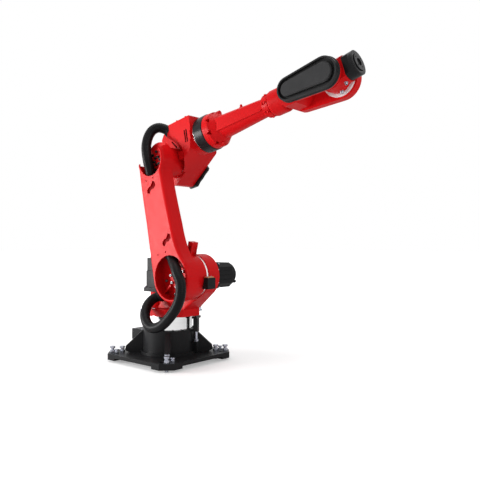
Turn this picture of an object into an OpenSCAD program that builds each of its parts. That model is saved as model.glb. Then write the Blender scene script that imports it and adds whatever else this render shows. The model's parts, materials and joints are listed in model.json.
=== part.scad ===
// Six-axis industrial robot arm on a square floor base.
// The base stands at the origin with its pads' underside at z = 0, +X is the reach and +Z is up.

/* [Base] */
// Side of the square base plate
base_side = 480; // [440:1:520]
// Thickness of the base plate
plate_t = 18; // [14:1:24]
// How far the corner pads stand below the plate
pad_drop = 12; // [8:1:16]
// Side of a corner pad
pad_side = 103; // [96:1:112]
// Corner chamfer of the plate
plate_chamfer = 50; // [40:1:54]
// Radius of the base drum
drum_r = 130; // [124:1:136]
// Height of the drum's top
drum_top = 152; // [140:1:165]
// Height of a corner web's outer end above the plate
web_h = 32; // [24:1:40]
// Thickness of a corner web
web_t = 28; // [20:1:34]
// Radius of a levelling bolt
jack_r = 8; // [7:0.5:9]
// How far the levelling bolts stand below the pads
jack_drop = 11; // [6:1:14]
// Radius of an anchor hole
anchor_r = 9; // [8:0.5:10]
// How far the anchor holes' circle lies inside the plate's cut corners
anchor_inset = 43; // [40:1:46]

/* [Turret] */
// Radius of the bright ring under the turret
j1_ring_r = 117; // [110:1:122]
// Underside of the turret flange
flange_z = 222; // [212:1:230]
// Thickness of the turret flange
flange_t = 36; // [30:1:42]
// Width of the turret flange
flange_w = 234; // [224:1:244]
// Front face of the turret flange
flange_front = 158; // [152:1:166]
// Width of the turret flange's front face
front_w = 114; // [106:1:122]
// How far the second axis lies in front of the first
j2_x = 212; // [206:1:220]
// Height of the second axis
j2_z = 423; // [415:1:432]
// Radius of the shoulder housing
shoulder_r = 106; // [100:1:110]
// Side of the first motor
j1_motor_w = 88; // [78:1:94]
// Height of the first motor
j1_motor_h = 182; // [160:1:200]
// Side of the second motor
j2_motor_w = 122; // [110:1:128]
// Length of the second motor
j2_motor_l = 185; // [160:1:200]

/* [Upper arm] */
// Distance from the second axis to the third
arm_len = 573; // [560:1:590]
// How far the arm leans back at rest, in degrees
arm_lean = 14.35; // [10:0.05:18]
// Outer face of the arm, measured from the centre plane
arm_face = 192; // [186:1:198]
// Depth of the arm's beam
arm_depth = 72; // [66:1:76]
// Wall of the arm casting
arm_wall = 12; // [9:0.5:14]
// Skin of the arm's outer face
arm_skin = 8; // [6:0.5:9]
// Edge rounding of the arm's outer face
arm_round = 16; // [10:1:18]
// Share of that rounding kept at the arm's two ends
arm_end_share = 0.6; // [0.5:0.05:0.7]
// Radius of the arm's lower end
arm_low_r = 118; // [114:1:122]
// Radius of the round opening at the lower end
low_open_r = 103; // [98:1:106]
// Radius of the arm's upper end
arm_top_r = 91; // [89:1:94]
// Radius of the open mouth at the upper end
top_open_r = 78; // [74:1:79]
// Radius of the arm's hub on the third axis
j3_hub_r = 73; // [68:1:74]

/* [Elbow and forearm] */
// How far the forearm points up at rest, in degrees
fore_pitch = 11.9; // [8:0.1:15]
// Height of the forearm's axis over the third axis
fore_off = 80; // [76:1:84]
// Distance along the forearm from the third axis to the fifth
fore_len = 928; // [900:1:960]
// Width of the elbow casting
elbow_w = 184; // [176:1:190]
// Front face of the elbow, along the forearm
elbow_front = 200; // [192:1:206]
// Radius of the black ring on the fourth axis
j4_ring_r = 87; // [80:1:90]
// Length of the black ring
j4_ring_l = 58; // [48:1:64]
// Radius of the forearm tube at its root
tube_root_r = 55; // [50:1:58]
// Radius of the forearm tube at its tip
tube_tip_r = 41; // [38:1:44]

/* [Wrist] */
// Length of the wrist housing's neck
neck_l = 76; // [60:1:84]
// Radius of the neck
neck_r = 57; // [52:1:60]
// Half of the gap between the fork's cheeks
fork_gap = 46; // [44:1:50]
// Outer face of the far cheek
fork_face = 88; // [82:1:94]
// Radius of the near cheek and its cover around the fifth axis
fork_r = 66; // [62:1:68]
// Radius of the far cheek around the fifth axis
far_r = 82; // [76:1:84]
// Depth of the belt cover
cover_t = 30; // [24:1:34]
// Radius of the belt cover's rear end
cover_rear_r = 53; // [48:1:56]
// Distance between the belt cover's end centres
cover_span = 173; // [160:1:180]
// Bend of the fifth joint at rest, in degrees
wrist_bend = 5.7; // [0:0.1:10]
// Distance from the fifth axis to the flange's face
flange_reach = 121; // [116:1:128]
// Radius of the black housing on the sixth axis
j6_r = 52; // [48:1:54]
// Radius of the tool flange
tool_r = 35; // [32:1:38]
// Bolt circle of the tool flange
tool_pcd = 50; // [46:1:52]
// Radius of the tool flange's tapped holes
tool_hole_r = 3; // [2:0.5:3]
// Radius of the tool flange's pilot bore
pilot_r = 15.75; // [14:0.25:17]

/* [Hoses] */
// Radius of the cable conduit
hose_r = 24; // [21:0.5:24]

/* [Hidden] */
$fn = 64;

red = [0.84, 0.07, 0.07];
black = [0.07, 0.07, 0.08];
silver = [0.78, 0.79, 0.8];
steel = [0.6, 0.62, 0.66];
copper = [0.55, 0.3, 0.16];

seat = 0.3;
over = 1;
plate_top = pad_drop + plate_t;
half = base_side / 2;
corner_d = (base_side - plate_chamfer) / sqrt(2);
jack_clear = 0.3;
jack_out = corner_d - 20;
jack_in = corner_d - 68;
jack_tall = 30;
screw_out = corner_d - 44;
screw_side = 26;
screw_r = jack_r * 0.75;
screw_tall = 20;
screw_deep = 9;
anchor_pcd = 2 * (corner_d - anchor_inset);
anchor_turn = asin(screw_side * 2 / anchor_pcd);
web_end = corner_d - 86;
web_under = 22;
web_foot = 12;
box_back = half - 18;
box_w = 120;
box_z = plate_top + web_h;
box_h = 71;
box_cut = 18;
plug_r = 17;
plug_side = 28;
shelf_w = 90;
j1_stop_turn = 24;
j1_stop_out = drum_r + 16;
j1_screw_z = plate_top + 59;
j1_block_z = j1_screw_z + 49;
j1_rib_top = 36;
j1_rib_low = 16;
j1_head_z = flange_z - 17;
j1_wall = 30;
flange_cut = (flange_w - front_w) / 2;
flange_back = 136;
pocket_r = 13;
pocket_h = 14;
flange_top = flange_z + flange_t;
pedestal_back = -20;
hub_end = 56;
ring_y = 40;
ring_t = 30;
housing_end = 30;
j1_motor_x = -92;
j1_motor_z = flange_top + 74;
j1_flange_t = 21;
j1_step = 106;
j1_pillar_r = 34;
motor_rim = 14;
motor_round = 10;
j2_flange_t = 44;
groove_w = 5;
groove_d = 3;
stop_w = 52;
stop_h = 52;
stop_out = 30;
arm_inner = arm_face - arm_depth;
plate_y = arm_inner + 10;
j3 = [j2_x - arm_len * sin(arm_lean), 0, j2_z + arm_len * cos(arm_lean)];
j3_hub_end = 31;
j3_boss = 22;
fork_root = fore_len - 306;
seal_t = 3;
tube_root = elbow_front + seal_t + seat + j4_ring_l;
root_l = 72;
tube_tip = fork_root - 30;
eye_at = (tube_root + tube_tip) / 2 + 20;
eye_seat = 53;
cheek_t = 12;
bearing_t = 8;
cover_y = fork_gap + cheek_t;
rim_t = 8;
rim_w = 7;
basin_d = 16;
panel_in = 22;
body_side = fork_gap - bearing_t;
body_r = 61;
j6_start = 68;
j6_round = far_r + 16;
arm_waist = 68;
arm_back = 104;
plate_boss_r = 56;
gland_l = 22;
elbow_gland_l = 16;
gland_boss_l = 88;
gland_mouth = [13, -88, 316];
gland_way = [-0.64, -0.61, -0.46] / norm([0.64, 0.61, 0.46]);
elbow_mouth = by_elbow(28, -68, 152.4);
elbow_way = [0.7, 0.35, -0.45] / norm([0.7, 0.35, 0.45]);
hose_route = [
    gland_mouth, [-4, -112, 300], [2, -148, 272], [30, -185, 236], [80, -212, 200], [130, -222, 187],
    [190, -226, 203], [246, -228, 244], [292, -228, 293], [318, -227, 348], [314, -222, 402], [284, -214, 444],
    [253, -196, 472], [217, -174, 492], by_arm(-4, -157, 97), by_arm(-36, -157, 151),
    by_arm(-41, -157, arm_len * 0.525), by_arm(-46, -157, arm_len - 120), by_arm(-43, -161, arm_len - 41),
    by_arm(-41, -166, arm_len + 16), by_elbow(-46, -160, 77), by_elbow(-40, -145, 128), by_elbow(-26, -125, 163),
    by_elbow(-6, -103, 175), by_elbow(13, -84, 168), elbow_mouth
];
hose_sides = 12;
lower_end = 14;
upper_start = 17;

// A place given in the upper arm's frame.
function by_arm(n, y, t) = [
    j2_x + n * cos(arm_lean) - t * sin(arm_lean), y, j2_z + n * sin(arm_lean) + t * cos(arm_lean)
];

// A place given in the forearm's frame.
function by_elbow(x, y, z) = [
    j3[0] + x * cos(fore_pitch) - z * sin(fore_pitch), y, j3[2] + x * sin(fore_pitch) + z * cos(fore_pitch)
];

// Turns children into the upper arm's frame: x forward of the arm, z along it from the second axis.
module in_arm() {
    translate([j2_x, 0, j2_z]) rotate([0, -arm_lean, 0]) children();
}

// Turns children into the forearm's frame: x along it, z up from the third axis.
module in_forearm() {
    translate(j3) rotate([0, -fore_pitch, 0]) children();
}

// Turns children onto the forearm's own axis.
module on_fore_axis() {
    in_forearm() translate([0, 0, fore_off]) children();
}

// Turns children into the wrist's frame: x along the sixth axis from the fifth.
module in_wrist() {
    on_fore_axis() translate([fore_len, 0, 0]) rotate([0, -wrist_bend, 0]) children();
}

// A cylinder along y from y0 to y1.
module ycyl(r, y0, y1) {
    translate([0, y1, 0]) rotate([90, 0, 0]) cylinder(r = r, h = y1 - y0);
}

// A cylinder along x from x0 to x1.
module xcyl(r, x0, x1) {
    translate([x0, 0, 0]) rotate([0, 90, 0]) cylinder(r = r, h = x1 - x0);
}

// An outline in x and z, drawn out along y from y0 to y1.
module along_y(y0, y1) {
    translate([0, y1, 0]) rotate([90, 0, 0]) linear_extrude(y1 - y0) children();
}

// A round slot with ends of two radii.
module taper_slot(x1, r1, x2, r2) {
    turn = acos((r1 - r2) / (x2 - x1));
    polygon(concat(arc([x2, 0], r2, -turn, turn, 24), arc([x1, 0], r1, turn, 360 - turn, 24)));
}

// A rectangle from x0 to x1 with all corners cut by c.
module cut_rect(x0, x1, w, c) {
    polygon([
        [x0 + c, -w / 2], [x1 - c, -w / 2], [x1, -w / 2 + c], [x1, w / 2 - c],
        [x1 - c, w / 2], [x0 + c, w / 2], [x0, w / 2 - c], [x0, -w / 2 + c]
    ]);
}

// Points of a curve that leaves p0 towards p1 and reaches p2 from it.
function bend(p0, p1, p2, n) = [
    for (i = [0:n]) let (s = i / n) p0 * (1 - s) * (1 - s) + p1 * 2 * s * (1 - s) + p2 * s * s
];

// Points of an arc.
function arc(c, r, a0, a1, n) = [for (i = [0:n]) let (a = a0 + (a1 - a0) * i / n) c + r * [cos(a), sin(a)]];

// Aims the z axis of children along d from p.
module aim(p, d) {
    translate(p) rotate([0, acos(d[2] / norm(d)), atan2(d[1], d[0])]) children();
}

// A skin over rings of points that all have the same count.
module loft(rings) {
    n = len(rings[0]);
    m = len(rings);
    polyhedron(
        [for (ring = rings) for (p = ring) p],
        concat(
            [[for (i = [0:n - 1]) i]],
            [for (k = [0:m - 2]) for (i = [0:n - 1]) let (a = k * n + i, b = k * n + (i + 1) % n)
                for (face = [[a, a + n, b + n], [a, b + n, b]]) face],
            [[for (i = [n - 1:-1:0]) (m - 1) * n + i]]
        )
    );
}

// A round tube along a stretch of a route, with a ring of points at each place and both ends set in.
module tube(route, from, to, r, sides, set_in) {
    last = len(route) - 1;
    rings = [for (k = [from:to]) let (
            way = k == 0 ? gland_way : k == last ? elbow_way : route[k + 1] - route[k - 1],
            t = way / norm(way),
            side = cross(t, [0, 1, 0]),
            a = side / norm(side),
            b = cross(t, a),
            shift = k == from ? set_in : k == to ? -set_in : 0
        ) [for (i = [0:sides - 1]) let (turn = 360 * i / sides)
            route[k] + shift * t + r * (cos(turn) * a + sin(turn) * b)]];
    loft(rings);
}

// Copies children to the base's four corners, each turned to its own diagonal.
module at_corners() {
    for (a = [45:90:315]) rotate(a) children();
}

// A hexagon bolt: tip at z0, lock nut on seat_z, head above it.
module hex_bolt(r, z0, seat_z, tall) {
    nut_h = r * 1.6;
    translate([0, 0, z0]) cylinder(r = r, h = seat_z + tall - z0);
    translate([0, 0, seat_z]) cylinder(r = r * 1.7, h = nut_h, $fn = 6);
    translate([0, 0, seat_z + tall - r]) cylinder(r = r * 1.7, h = r * 1.2, $fn = 6);
}

module base_casting() {
    color(black) difference() {
        union() {
            translate([0, 0, pad_drop]) linear_extrude(plate_t) cut_rect(-half, half, base_side, plate_chamfer);
            linear_extrude(pad_drop + over) intersection() {
                cut_rect(-half, half, base_side, plate_chamfer);
                for (a = [0:90:270]) rotate(a) translate([half - pad_side, half - pad_side]) square(pad_side);
            }
            translate([0, 0, plate_top - over]) cylinder(r = drum_r + web_foot, h = web_foot + over);
            translate([0, 0, plate_top - over]) cylinder(r = drum_r, h = drum_top - plate_top + over);
            at_corners() along_y(-web_t / 2, web_t / 2) polygon([
                [drum_r / 2, plate_top - over], [web_end - web_under, plate_top - over],
                [web_end, plate_top + web_foot], [web_end, plate_top + web_h],
                [drum_r - over, drum_top - web_foot / 2], [drum_r / 2, drum_top - web_foot / 2]
            ]);
            translate([-box_back + box_cut, -shelf_w / 2, plate_top - over])
                cube([box_back - box_cut, shelf_w, box_z - plate_top + over]);
            rotate(j1_stop_turn) translate([drum_r / 2, 0, 0]) rotate([90, 0, 90])
                linear_extrude(j1_stop_out - drum_r / 2 + j1_rib_low / 2) polygon([
                    [-j1_rib_low / 2, plate_top - over], [j1_rib_low / 2, plate_top - over],
                    [j1_rib_top / 2, j1_screw_z], [-j1_rib_top / 2, j1_screw_z]
                ]);
        }
        at_corners() {
            for (d = [jack_in, jack_out]) translate([d, 0, -over])
                cylinder(r = jack_r + jack_clear, h = plate_top + 2 * over);
            translate([screw_out, screw_side, plate_top - screw_deep - over])
                cylinder(r = screw_r + jack_clear, h = screw_deep + 2 * over);
        }
        for (a = [45:90:315]) rotate(a - anchor_turn) translate([anchor_pcd / 2, 0, -over])
            cylinder(r = anchor_r, h = plate_top + 2 * over);
    }
}

module connector_box() {
    color(black) difference() {
        along_y(-box_w / 2, box_w / 2) polygon([
            [-drum_r / 2, box_z], [-drum_r / 2, box_z + box_h], [-box_back, box_z + box_h],
            [-box_back, box_z + box_cut], [-box_back + box_cut, box_z]
        ]);
        cylinder(r = drum_r + seat, h = drum_top + box_h);
        for (y = [-plug_side, plug_side]) translate([0, y, box_z + box_h / 2])
            xcyl(plug_r, -box_back - over, -box_back + rim_t);
    }
}

module levelling_bolts() {
    color(steel) at_corners() for (d = [jack_in, jack_out]) translate([d, 0, 0])
        hex_bolt(jack_r, -jack_drop, plate_top, jack_tall);
}

module pad_screws() {
    color(steel) at_corners() translate([screw_out, screw_side, 0])
        hex_bolt(screw_r, plate_top - screw_deep, plate_top, screw_tall);
}

module j1_stop() {
    stem = 24;
    head = 58;
    head_t = 11;
    color(black) rotate(j1_stop_turn) translate([j1_stop_out, 0, 0]) {
        translate([-stem / 2, -stem / 2, j1_block_z]) cube([stem, stem, j1_head_z - j1_block_z + over]);
        translate([-stem / 2 - over, -head / 2, j1_head_z]) cube([stem + 3 * over, head, head_t]);
    }
}

module j1_stop_screw() {
    shaft = 7;
    nut = 11;
    color(steel) rotate(j1_stop_turn) translate([j1_stop_out, 0, j1_screw_z]) {
        cylinder(r = shaft, h = j1_block_z - j1_screw_z);
        cylinder(r = nut, h = nut, $fn = 6);
    }
}

module j1_ring() {
    color(silver) translate([0, 0, drum_top]) difference() {
        cylinder(r = j1_ring_r, h = flange_z - drum_top - seat);
        translate([0, 0, -over]) cylinder(r = j1_ring_r - j1_wall, h = flange_z);
    }
}

module turret_flange() {
    polygon([
        [flange_front, -front_w / 2], [flange_front, front_w / 2], [flange_front - flange_cut, flange_w / 2],
        [-flange_back + flange_cut, flange_w / 2], [-flange_back, front_w / 2], [-flange_back, -front_w / 2],
        [-flange_back + flange_cut, -flange_w / 2], [flange_front - flange_cut, -flange_w / 2]
    ]);
}

module turret_casting() {
    boss_r = hose_r + 12;
    motor_half = j2_motor_w / 2 + motor_rim;
    color(red) {
        difference() {
            union() {
                translate([0, 0, flange_z]) linear_extrude(flange_t) turret_flange();
                hull() {
                    translate([pedestal_back, -front_w / 2, flange_top - over])
                        cube([flange_front - pedestal_back, front_w, over]);
                    translate([j2_x, 0, j2_z]) ycyl(shoulder_r, -ring_y, housing_end, $fn = 48);
                }
                aim(gland_mouth - (gland_l + gland_boss_l) * gland_way, gland_way)
                    cylinder(r = boss_r, h = gland_boss_l);
            }
            translate([j2_x, 0, j2_z]) {
                ycyl(shoulder_r + 6, -arm_face, -ring_y);
                translate([-motor_half, housing_end, -motor_half])
                    cube([2 * motor_half, flange_w, 2 * motor_half + shoulder_r]);
            }
            aim(gland_mouth - gland_l * gland_way, gland_way) cylinder(r = boss_r - 2, h = gland_boss_l);
            for (m = [-1, 1]) {
                for (x = [flange_front - flange_cut / 2, flange_cut / 2 - flange_back])
                    translate([x, m * (flange_w - flange_cut) / 2, flange_top - pocket_h])
                        cylinder(r = pocket_r, h = pocket_h + over);
                translate([0, m * (flange_w / 2 - pocket_r - 6), flange_top - pocket_h])
                    cylinder(r = pocket_r, h = pocket_h + over);
            }
        }
        translate([j1_motor_x, 0, flange_top - over])
            cylinder(r = j1_pillar_r, h = j1_motor_z - flange_top + over);
        translate([j1_motor_x, -web_foot, flange_top - over]) cube([-j1_motor_x, 2 * web_foot, j1_pillar_r]);
    }
}

module j1_motor() {
    w = j1_motor_w;
    color(black) translate([j1_motor_x, 0, j1_motor_z]) {
        linear_extrude(j1_flange_t)
            cut_rect(-w / 2 - motor_rim / 2, w / 2 + motor_rim / 2, w + motor_rim, motor_round / 2);
        linear_extrude(j1_step) cut_rect(-w / 2, w / 2, w, motor_round);
        linear_extrude(j1_motor_h - motor_round)
            cut_rect(groove_d - w / 2, w / 2 - groove_d, w - 2 * groove_d, motor_round);
        cylinder(r = w / 2 - motor_round, h = j1_motor_h);
    }
}

module j2_motor() {
    w = j2_motor_w;
    body_l = j2_motor_l * 0.78;
    color(black) translate([j2_x, housing_end, j2_z]) {
        along_y(0, j2_flange_t) cut_rect(-w / 2 - groove_d, w / 2 + groove_d, w + 2 * groove_d, motor_round);
        difference() {
            along_y(j2_flange_t - over, body_l) cut_rect(-w / 2, w / 2, w, 2 * motor_round);
            for (z = [-w / 6, 0, w / 6]) for (m = [-1, 1])
                translate([m * w / 2 - groove_d, j2_flange_t + groove_w, z - groove_w / 2])
                    cube([2 * groove_d, body_l, groove_w]);
        }
        ycyl(w / 2 - groove_d, j2_flange_t, j2_motor_l - motor_round);
        ycyl(w / 2 - motor_round, j2_flange_t, j2_motor_l);
    }
}

module j2_ring() {
    color(silver) translate([j2_x, 0, j2_z]) difference() {
        ycyl(shoulder_r - 4, -hub_end + seat, -ring_y);
        ycyl(shoulder_r - 4 - ring_t, -hub_end, -ring_y + over);
    }
}

module stop_block() {
    near = ring_y + stop_h * 0.8;
    color(black) translate([j2_x, 0, j2_z]) difference() {
        translate([shoulder_r - stop_out / 2, -near, -stop_h - 2]) cube([stop_out * 1.5, stop_w, stop_h]);
        ycyl(shoulder_r + 5, -near - over, -ring_y);
        ycyl(shoulder_r + seat, -ring_y - over, 0);
    }
}

module stop_plate() {
    near = ring_y + stop_h * 0.8;
    thick = 6;
    color(copper) translate([j2_x + shoulder_r + thick, -near, j2_z - 2])
        cube([stop_out - thick, stop_w - 2 * thick, thick]);
}

module lower_gland() {
    nut_h = gland_l * 0.72;
    color(black) aim(gland_mouth - gland_l * gland_way, gland_way) {
        cylinder(r = hose_r + 8, h = nut_h);
        translate([0, 0, nut_h - over]) cylinder(r = hose_r + 5, h = gland_l - nut_h + over);
    }
}

// The arm's outline in its own frame, set in by d.
function arm_outline(d) = let (low = arm_low_r - d * arm_end_share, top = arm_top_r - d * arm_end_share) concat(
    arc([0, 0], low, 180, 380, 30),
    bend([low * cos(24), low * sin(24)], [arm_waist - d, arm_low_r - 8], [arm_waist + 2 - d, arm_len * 0.42], 14),
    bend([arm_waist + 1 - d, arm_len * 0.45], [arm_waist - 8 - d, arm_len * 0.8],
        [arm_waist - 2 - d, arm_len - arm_waist], 10),
    arc([0, arm_len], top, -36, 180, 28),
    bend([-arm_top_r + d, arm_len - 24], [-arm_back + 3 + d, arm_len * 0.75], [-arm_back + d, arm_len * 0.5], 10)
);

function arm_ring(d, y) = let (outline = arm_outline(d))
    [for (i = [len(outline) - 1:-1:0]) [outline[i][0], y, outline[i][1]]];

// The shallow cast seat of a cable clamp, as an outline.
module clamp_seat() {
    polygon([
        [-31, -16], [-17, -25], [-6, -12], [2, -7], [14, -8], [31, 2], [31, 21], [15, 30], [5, 17], [-2, 9],
        [-15, 8], [-30, -1]
    ]);
}

module upper_arm_casting() {
    steps = 5;
    rib_t = 9;
    rib_h = 22;
    lug = [28, 38, 72];
    lug_turn = 26.5;
    boss_turn = 30.8;
    boss_r = 9;
    mouth_rise = 10.5;
    mouth_tilt = 25;
    tip = [13, 20];
    hole_r = 4;
    seat_d = arm_skin + over;
    rings = concat(
        [for (k = [0:steps]) let (a = 90 * k / steps)
            arm_ring(arm_round * (1 - sin(a)), -arm_face + arm_round * (1 - cos(a)))],
        [arm_ring(0, -arm_inner)]
    );
    color(red) in_arm() {
        difference() {
            union() {
                loft(rings);
                ycyl(shoulder_r, -arm_inner - over, -hub_end);
                translate([0, 0, arm_len]) ycyl(j3_hub_r, -arm_inner - over, -j3_hub_end);
                rotate([0, lug_turn, 0]) difference() {
                    translate([-lug[0] / 2, -hub_end - lug[1], shoulder_r - 10]) cube(lug);
                    translate([-lug[0] / 4, -hub_end - lug[1] - over, shoulder_r + 14])
                        cube([lug[0] / 2, lug[1] / 3, lug[0]]);
                }
                rotate([0, boss_turn, 0]) translate([0, -arm_inner + boss_r + over, 0])
                    xcyl(boss_r, shoulder_r - boss_r, arm_low_r - 4);
            }
            along_y(-arm_face + arm_skin, -plate_y) polygon(arm_outline(arm_wall));
            ycyl(low_open_r, -arm_face - over, -plate_y);
            translate([0, 0, arm_len]) {
                ycyl(top_open_r, -arm_face - over, -plate_y);
                along_y(-arm_face - over, -plate_y) translate([-arm_top_r, 0]) polygon([
                    [-over, -tip[1]], [tip[0] / 3, -tip[1] / 3], [tip[0], tip[0] / 4], [tip[0], arm_top_r],
                    [-over, arm_top_r]
                ]);
                intersection() {
                    along_y(-arm_face - over, -plate_y) translate([-2 * arm_top_r, -arm_top_r])
                        square(4 * arm_top_r);
                    translate([-arm_top_r, -arm_face, 0]) rotate([mouth_tilt, 0, 0]) rotate([0, -mouth_rise, 0])
                        translate([-arm_top_r, -arm_depth, 0])
                            cube([4 * arm_top_r, 3 * arm_depth, 4 * arm_top_r]);
                }
            }
            for (place = [[-22, arm_len * 0.766], [20, arm_len * 0.3]])
                translate([place[0], 0, place[1]]) along_y(-arm_face - over, -arm_face + seat_d) clamp_seat();
            for (place = [[-53, arm_low_r + 2], [1, arm_low_r + 3], [-49, arm_len - 91], [2, arm_len - 90]])
                translate([place[0], 0, place[1]]) ycyl(hole_r, -arm_face - over, -arm_face + seat_d, $fn = 16);
        }
        for (a = [30, 90, 150]) rotate([0, a, 0]) translate([plate_boss_r - over, -plate_y - rib_h, -rib_t / 2])
            cube([arm_low_r - arm_wall / 2 - plate_boss_r, rib_h + over, rib_t]);
    }
}

module j2_reducer() {
    color(red) in_arm() {
        ycyl(plate_boss_r - 2, -plate_y - 10, -plate_y);
        ycyl(plate_boss_r * 0.6, -plate_y - 14, -plate_y);
    }
}

module j3_reducer() {
    color(red) in_arm() translate([0, 0, arm_len]) {
        ycyl(j3_hub_r - 10, -plate_y - 6, -plate_y);
        ycyl(j3_hub_r * 0.4, -plate_y - 10, -plate_y);
    }
}

module arm_conduit() {
    color(black) tube(hose_route, lower_end, upper_start, hose_r, hose_sides, seat);
}

module lower_hose() {
    color(black) tube(hose_route, 0, lower_end, hose_r, hose_sides, 0);
}

module upper_hose() {
    color(black) tube(hose_route, upper_start, len(hose_route) - 1, hose_r, hose_sides, 0);
}

module elbow_casting() {
    top = fore_off + j4_ring_r + 1;
    side = elbow_w / 2;
    nose = [elbow_front - 28, 6];
    toe = [-14, -106];
    flow_r = 132;
    slot_l = 58;
    slot_w = 4;
    slot_d = 5;
    slant = 53;
    slant_at = [17, 98];
    slant_l = 52;
    slant_gap = 16;
    stop = [30, 34, 38];
    color(red) difference() {
        union() {
            in_forearm() {
                difference() {
                    union() {
                        along_y(-side, side) polygon([
                            [-54, top], [-74, top - 24], [-76, -30], [-48, -98], [-36, -105], toe, nose,
                            nose + [6, 6], [elbow_front, fore_off + 34], [elbow_front, top]
                        ]);
                        ycyl(j3_hub_r + 5, -j3_boss - over, side);
                        translate([0, 0, fore_off]) xcyl(j4_ring_r - 2, elbow_front / 2, elbow_front);
                    }
                    translate([-elbow_front, -side - over, -elbow_front])
                        cube([elbow_front + 58, side + over - j3_boss, 3 * elbow_front]);
                    rotate([90, 0, 0]) rotate_extrude($fn = 96) polygon([
                        [0, j3_boss], [j3_hub_r + 6, j3_boss], [j3_hub_r + 6, j3_hub_end], [flow_r, side + over],
                        [0, side + over]
                    ]);
                    for (x = [-44, -32]) translate([elbow_front + x, -side - over, fore_off - 30])
                        cube([slot_w, slot_d, slot_l]);
                    translate([slant_at[0], -j3_boss - over, slant_at[1]]) rotate([0, slant, 0])
                        for (z = [-slant_gap / 2, slant_gap / 2])
                            translate([-slant_l / 2, 0, z - slot_w / 2]) cube([slant_l, slot_d, slot_w]);
                }
                translate([elbow_front - 16, -side - 2, fore_off - 24]) cube([9, 4, slot_l * 0.7]);
                translate([j3_hub_r + 8, -side + 18, -12]) cube(stop);
            }
            aim(elbow_mouth + elbow_gland_l * elbow_way, elbow_way) cylinder(r = hose_r + 7, h = 60);
        }
        aim(elbow_mouth - gland_l * elbow_way, elbow_way) cylinder(r = hose_r + 7, h = gland_l + elbow_gland_l);
    }
}

module elbow_cover() {
    side = elbow_w / 2;
    thick = 16;
    color(black) in_forearm() along_y(side, side + thick) polygon([
        [92, -20], [104, -44], [96, -54], [70, -68], [52, -82], [30, -94], [10, -112], [-40, -112], [-66, -40],
        [-50, 20], [10, 40]
    ]);
}

module elbow_gland() {
    color(black) aim(elbow_mouth + seat * elbow_way, elbow_way) cylinder(r = hose_r + 5, h = elbow_gland_l - seat);
}

module j3_ring() {
    color(silver) in_forearm() difference() {
        ycyl(j3_hub_r - 3, -j3_hub_end + seat, -j3_boss);
        ycyl(j3_hub_r - ring_t, -j3_hub_end, -j3_boss + over);
    }
}

module j4_seal() {
    color(silver) on_fore_axis() xcyl(j4_ring_r - 4, elbow_front, elbow_front + seal_t);
}

module j4_ring() {
    edge = 3;
    color(black) on_fore_axis() rotate([0, 90, 0]) translate([0, 0, elbow_front + seal_t + seat]) {
        cylinder(r1 = j4_ring_r - edge, r2 = j4_ring_r, h = edge);
        translate([0, 0, edge]) cylinder(r = j4_ring_r, h = j4_ring_l - 2 * edge);
        translate([0, 0, j4_ring_l - edge]) cylinder(r1 = j4_ring_r, r2 = j4_ring_r - edge, h = edge);
    }
}

module forearm_tube() {
    lobe_r = 12;
    notch = 22;
    flare = tube_tip_r + 10;
    pad_h = 22;
    slope = atan((tube_root_r - tube_tip_r) / (tube_tip - tube_root - root_l));
    color(red) on_fore_axis() {
        difference() {
            union() {
                rotate([0, 90, 0]) rotate_extrude() polygon([
                    [0, tube_root], [j4_ring_r - 3, tube_root], [j4_ring_r - 4, tube_root + 34],
                    [j4_ring_r - 10, tube_root + 40], [tube_root_r + 8, tube_root + root_l - 8],
                    [tube_root_r, tube_root + root_l], [tube_tip_r, tube_tip - 10], [flare, tube_tip],
                    [flare + 2, fork_root], [0, fork_root]
                ]);
                for (a = [0, 180]) rotate([a, 0, 0]) translate([0, 0, j4_ring_r - lobe_r - 2])
                    xcyl(lobe_r, tube_root + over, tube_root + root_l - 16);
            }
            for (a = [22.5:45:359]) rotate([a, 0, 0]) translate([tube_root + 20, 0, j4_ring_r - notch])
                linear_extrude(2 * notch) polygon([[0, 0], [notch, -notch / 2], [notch, notch / 2]]);
            for (a = [0:45:315]) rotate([a, 0, 0]) translate([0, 0, flare + 3])
                xcyl(7, tube_tip + 6, fork_root - 8, $fn = 24);
        }
        for (m = [-1, 1]) translate([tube_root + root_l, m * (tube_root_r + 2), 0]) rotate([0, 0, -m * slope])
            along_y(m < 0 ? 0 : -tube_tip_r, m < 0 ? tube_tip_r : 0)
                taper_slot(-6, pad_h + 6, tube_tip - tube_root - root_l - pad_h, pad_h);
        translate([eye_at, 0, 0]) cylinder(r = 10, h = eye_seat);
    }
}

module lifting_eye() {
    neck = 5;
    ball = 7;
    color(red) on_fore_axis() translate([eye_at, 0, eye_seat]) {
        cylinder(r = neck, h = neck + 1);
        translate([0, 0, neck + 2]) sphere(r = ball - 1);
    }
}

module wrist_housing() {
    arm_start = fork_root + neck_l;
    edge = 12;
    web_l = 100;
    web_w = 116;
    color(red) on_fore_axis() {
        rotate([0, 90, 0]) rotate_extrude() polygon(concat(
            [[0, fork_root]], [[neck_r - edge, fork_root]],
            arc([neck_r - edge, fork_root + edge], edge, -80, 0, 6),
            arc([neck_r - edge, arm_start - edge], edge, 0, 80, 6),
            [[neck_r - edge, arm_start], [0, arm_start]]
        ));
        along_y(-fork_gap - cheek_t, fork_face) cut_rect(arm_start - edge, arm_start + web_l, web_w, 30);
        along_y(fork_gap, fork_face - 6) taper_slot(arm_start + 48, neck_r + 8, fore_len, far_r);
        along_y(fork_face - 6 - over, fork_face) taper_slot(arm_start + 48, neck_r + 2, fore_len, far_r - 6);
        along_y(-cover_y, -fork_gap) taper_slot(arm_start + 50, cover_rear_r - 1, fore_len, fork_r - 3);
    }
}

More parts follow.
